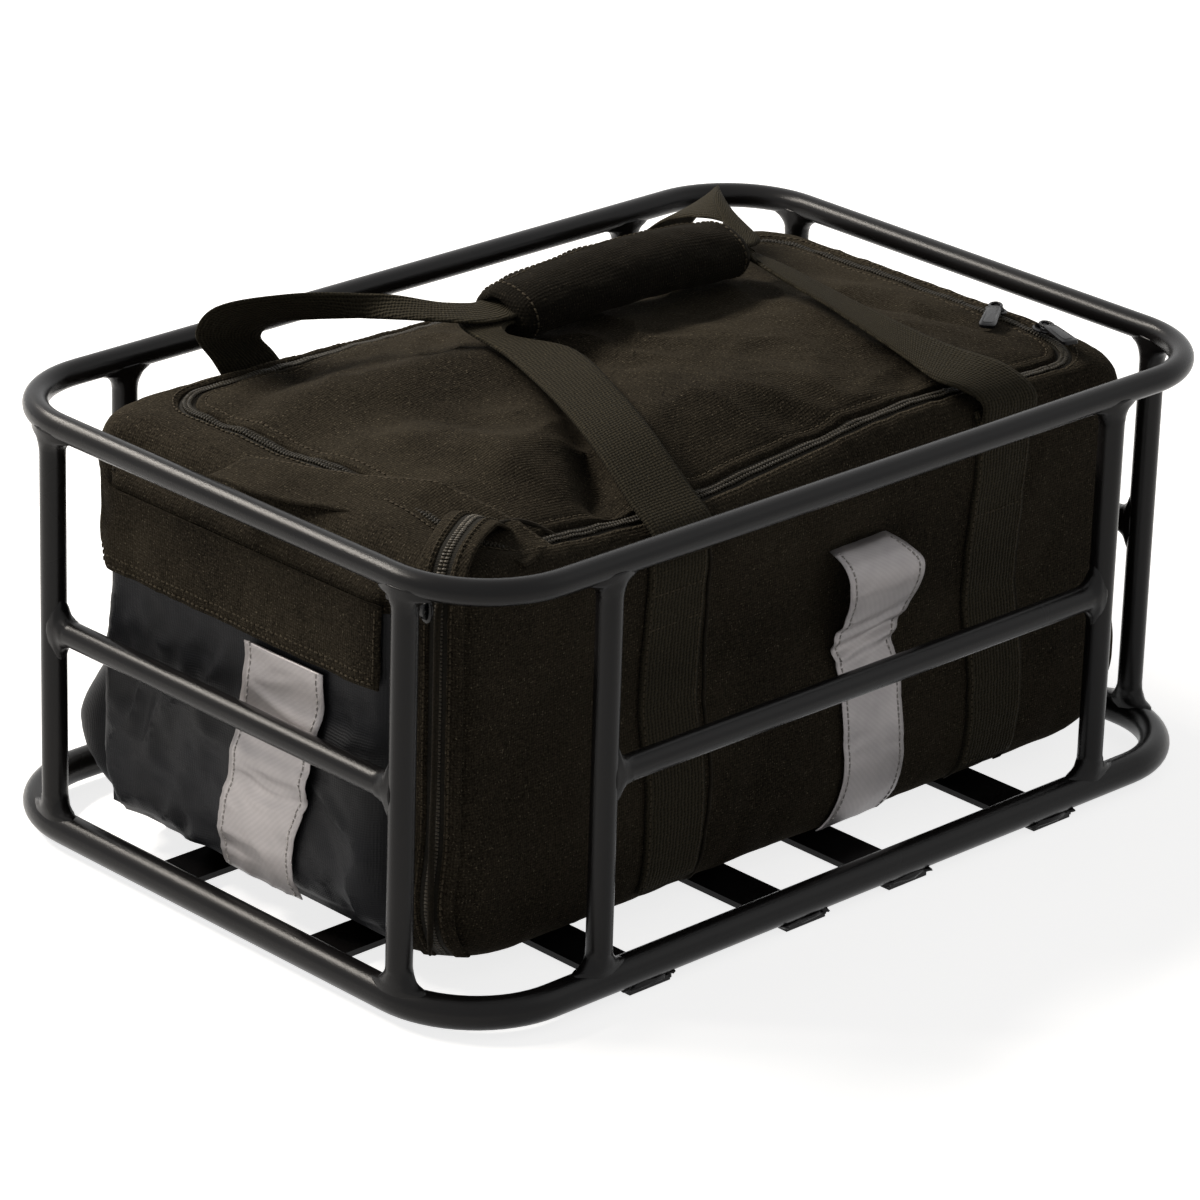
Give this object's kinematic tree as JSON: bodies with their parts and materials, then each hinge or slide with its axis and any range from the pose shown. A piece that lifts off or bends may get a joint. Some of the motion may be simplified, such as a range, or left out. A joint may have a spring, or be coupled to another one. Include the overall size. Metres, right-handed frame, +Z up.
{
  "type": "tube cargo basket with duffel bag",
  "caption": "Welded round-tube cargo basket with a slatted floor, holding a soft zip-top duffel bag with carry handles and reflective tape.",
  "frame": {"origin": "on the ground under the middle of the basket", "axes": "+X along the long side away from the pocket end of the bag, +Y towards the rear long side, +Z up"},
  "size_m": [0.516, 0.3558, 0.2634],
  "materials": {
    "powder_coat": "satin black powder coat over welded tube and flat bar",
    "bag_cloth": "matte black-brown woven canvas with fine light specks",
    "pocket_nylon": "slightly shiny bluish black nylon",
    "webbing": "matte black webbing with a ribbed weave",
    "grip_cloth": "padded canvas wrap with stitched edges",
    "zip_tape": "black zip tape with a coil of small teeth",
    "zip_metal": "glossy black lacquered zinc",
    "reflective_tape": "silver-grey retroreflective cloth with stitched edges"
  },
  "bodies": {
    "rack": {"top_rim": "powder_coat", "base_rim": "powder_coat", "post_left_front": "powder_coat", "post_left_rear": "powder_coat", "post_right_front": "powder_coat", "post_right_rear": "powder_coat", "post_front_left": "powder_coat", "post_front_right": "powder_coat", "post_rear_left": "powder_coat", "post_rear_right": "powder_coat", "mid_rail_front": "powder_coat", "mid_rail_rear": "powder_coat", "mid_rail_left": "powder_coat", "mid_rail_right": "powder_coat", "cross_slat_1": "powder_coat", "cross_slat_2": "powder_coat", "cross_slat_3": "powder_coat", "cross_slat_4": "powder_coat", "long_slat_front": "powder_coat", "long_slat_rear": "powder_coat"},
    "bag": {"bag_shell": "bag_cloth", "lid_panel": "bag_cloth", "main_zip": "zip_tape", "end_pocket": "pocket_nylon", "pocket_zip": "zip_tape", "end_reflective_tape": "reflective_tape", "side_reflective_tape": "reflective_tape", "sewn_band_near_left": "webbing", "sewn_band_near_right": "webbing", "sewn_band_far_left": "webbing", "sewn_band_far_right": "webbing"},
    "handles": {"near_handle": "webbing", "far_handle": "webbing", "handle_grip": "grip_cloth"},
    "end_flap": {"end_flap": "bag_cloth"},
    "main_slider_a": {"main_slider_a": "zip_metal"},
    "main_slider_b": {"main_slider_b": "zip_metal"},
    "main_pull_a": {"main_pull_a": "zip_metal"},
    "main_pull_b": {"main_pull_b": "zip_metal"},
    "pocket_slider": {"pocket_slider": "zip_metal"},
    "pocket_pull": {"pocket_pull": "zip_metal"}
  },
  "joints": [
    {"name": "bag_lift", "type": "slide", "parent": "rack", "child": "bag", "axis": [0, 0, 1], "range_m": [0, 0.24]},
    {"name": "handles_lift", "type": "slide", "parent": "bag", "child": "handles", "axis": [0, 0, 1], "range_m": [0, 0.05]},
    {"name": "flap_hinge", "type": "hinge", "parent": "bag", "child": "end_flap", "pos_m": [-0.2354, 0, 0.1896], "axis": [0, 1, 0], "range_deg": [0, 80]},
    {"name": "main_slider_a_slide", "type": "slide", "parent": "bag", "child": "main_slider_a", "axis": [0, 1, 0], "range_m": [0, 0.13]},
    {"name": "main_slider_b_slide", "type": "slide", "parent": "bag", "child": "main_slider_b", "axis": [0, 1, 0], "range_m": [0, 0.016]},
    {"name": "main_pull_a_hinge", "type": "hinge", "parent": "main_slider_a", "child": "main_pull_a", "pos_m": [0.2143, -0.05, 0.22766], "axis": [-0.5736, 0.8191, 0], "range_deg": [0, 120]},
    {"name": "main_pull_b_hinge", "type": "hinge", "parent": "main_slider_b", "child": "main_pull_b", "pos_m": [0.2143, -0.082, 0.22766], "axis": [-0.9272, 0.3746, 0], "range_deg": [0, 120]},
    {"name": "pocket_slider_slide", "type": "slide", "parent": "bag", "child": "pocket_slider", "axis": [0, 0, -1], "range_m": [0, 0.165]},
    {"name": "pocket_pull_hinge", "type": "hinge", "parent": "pocket_slider", "child": "pocket_pull", "pos_m": [-0.2353, -0.106, 0.1996], "axis": [0, 0, 1], "range_deg": [0, 85]}
  ]
}
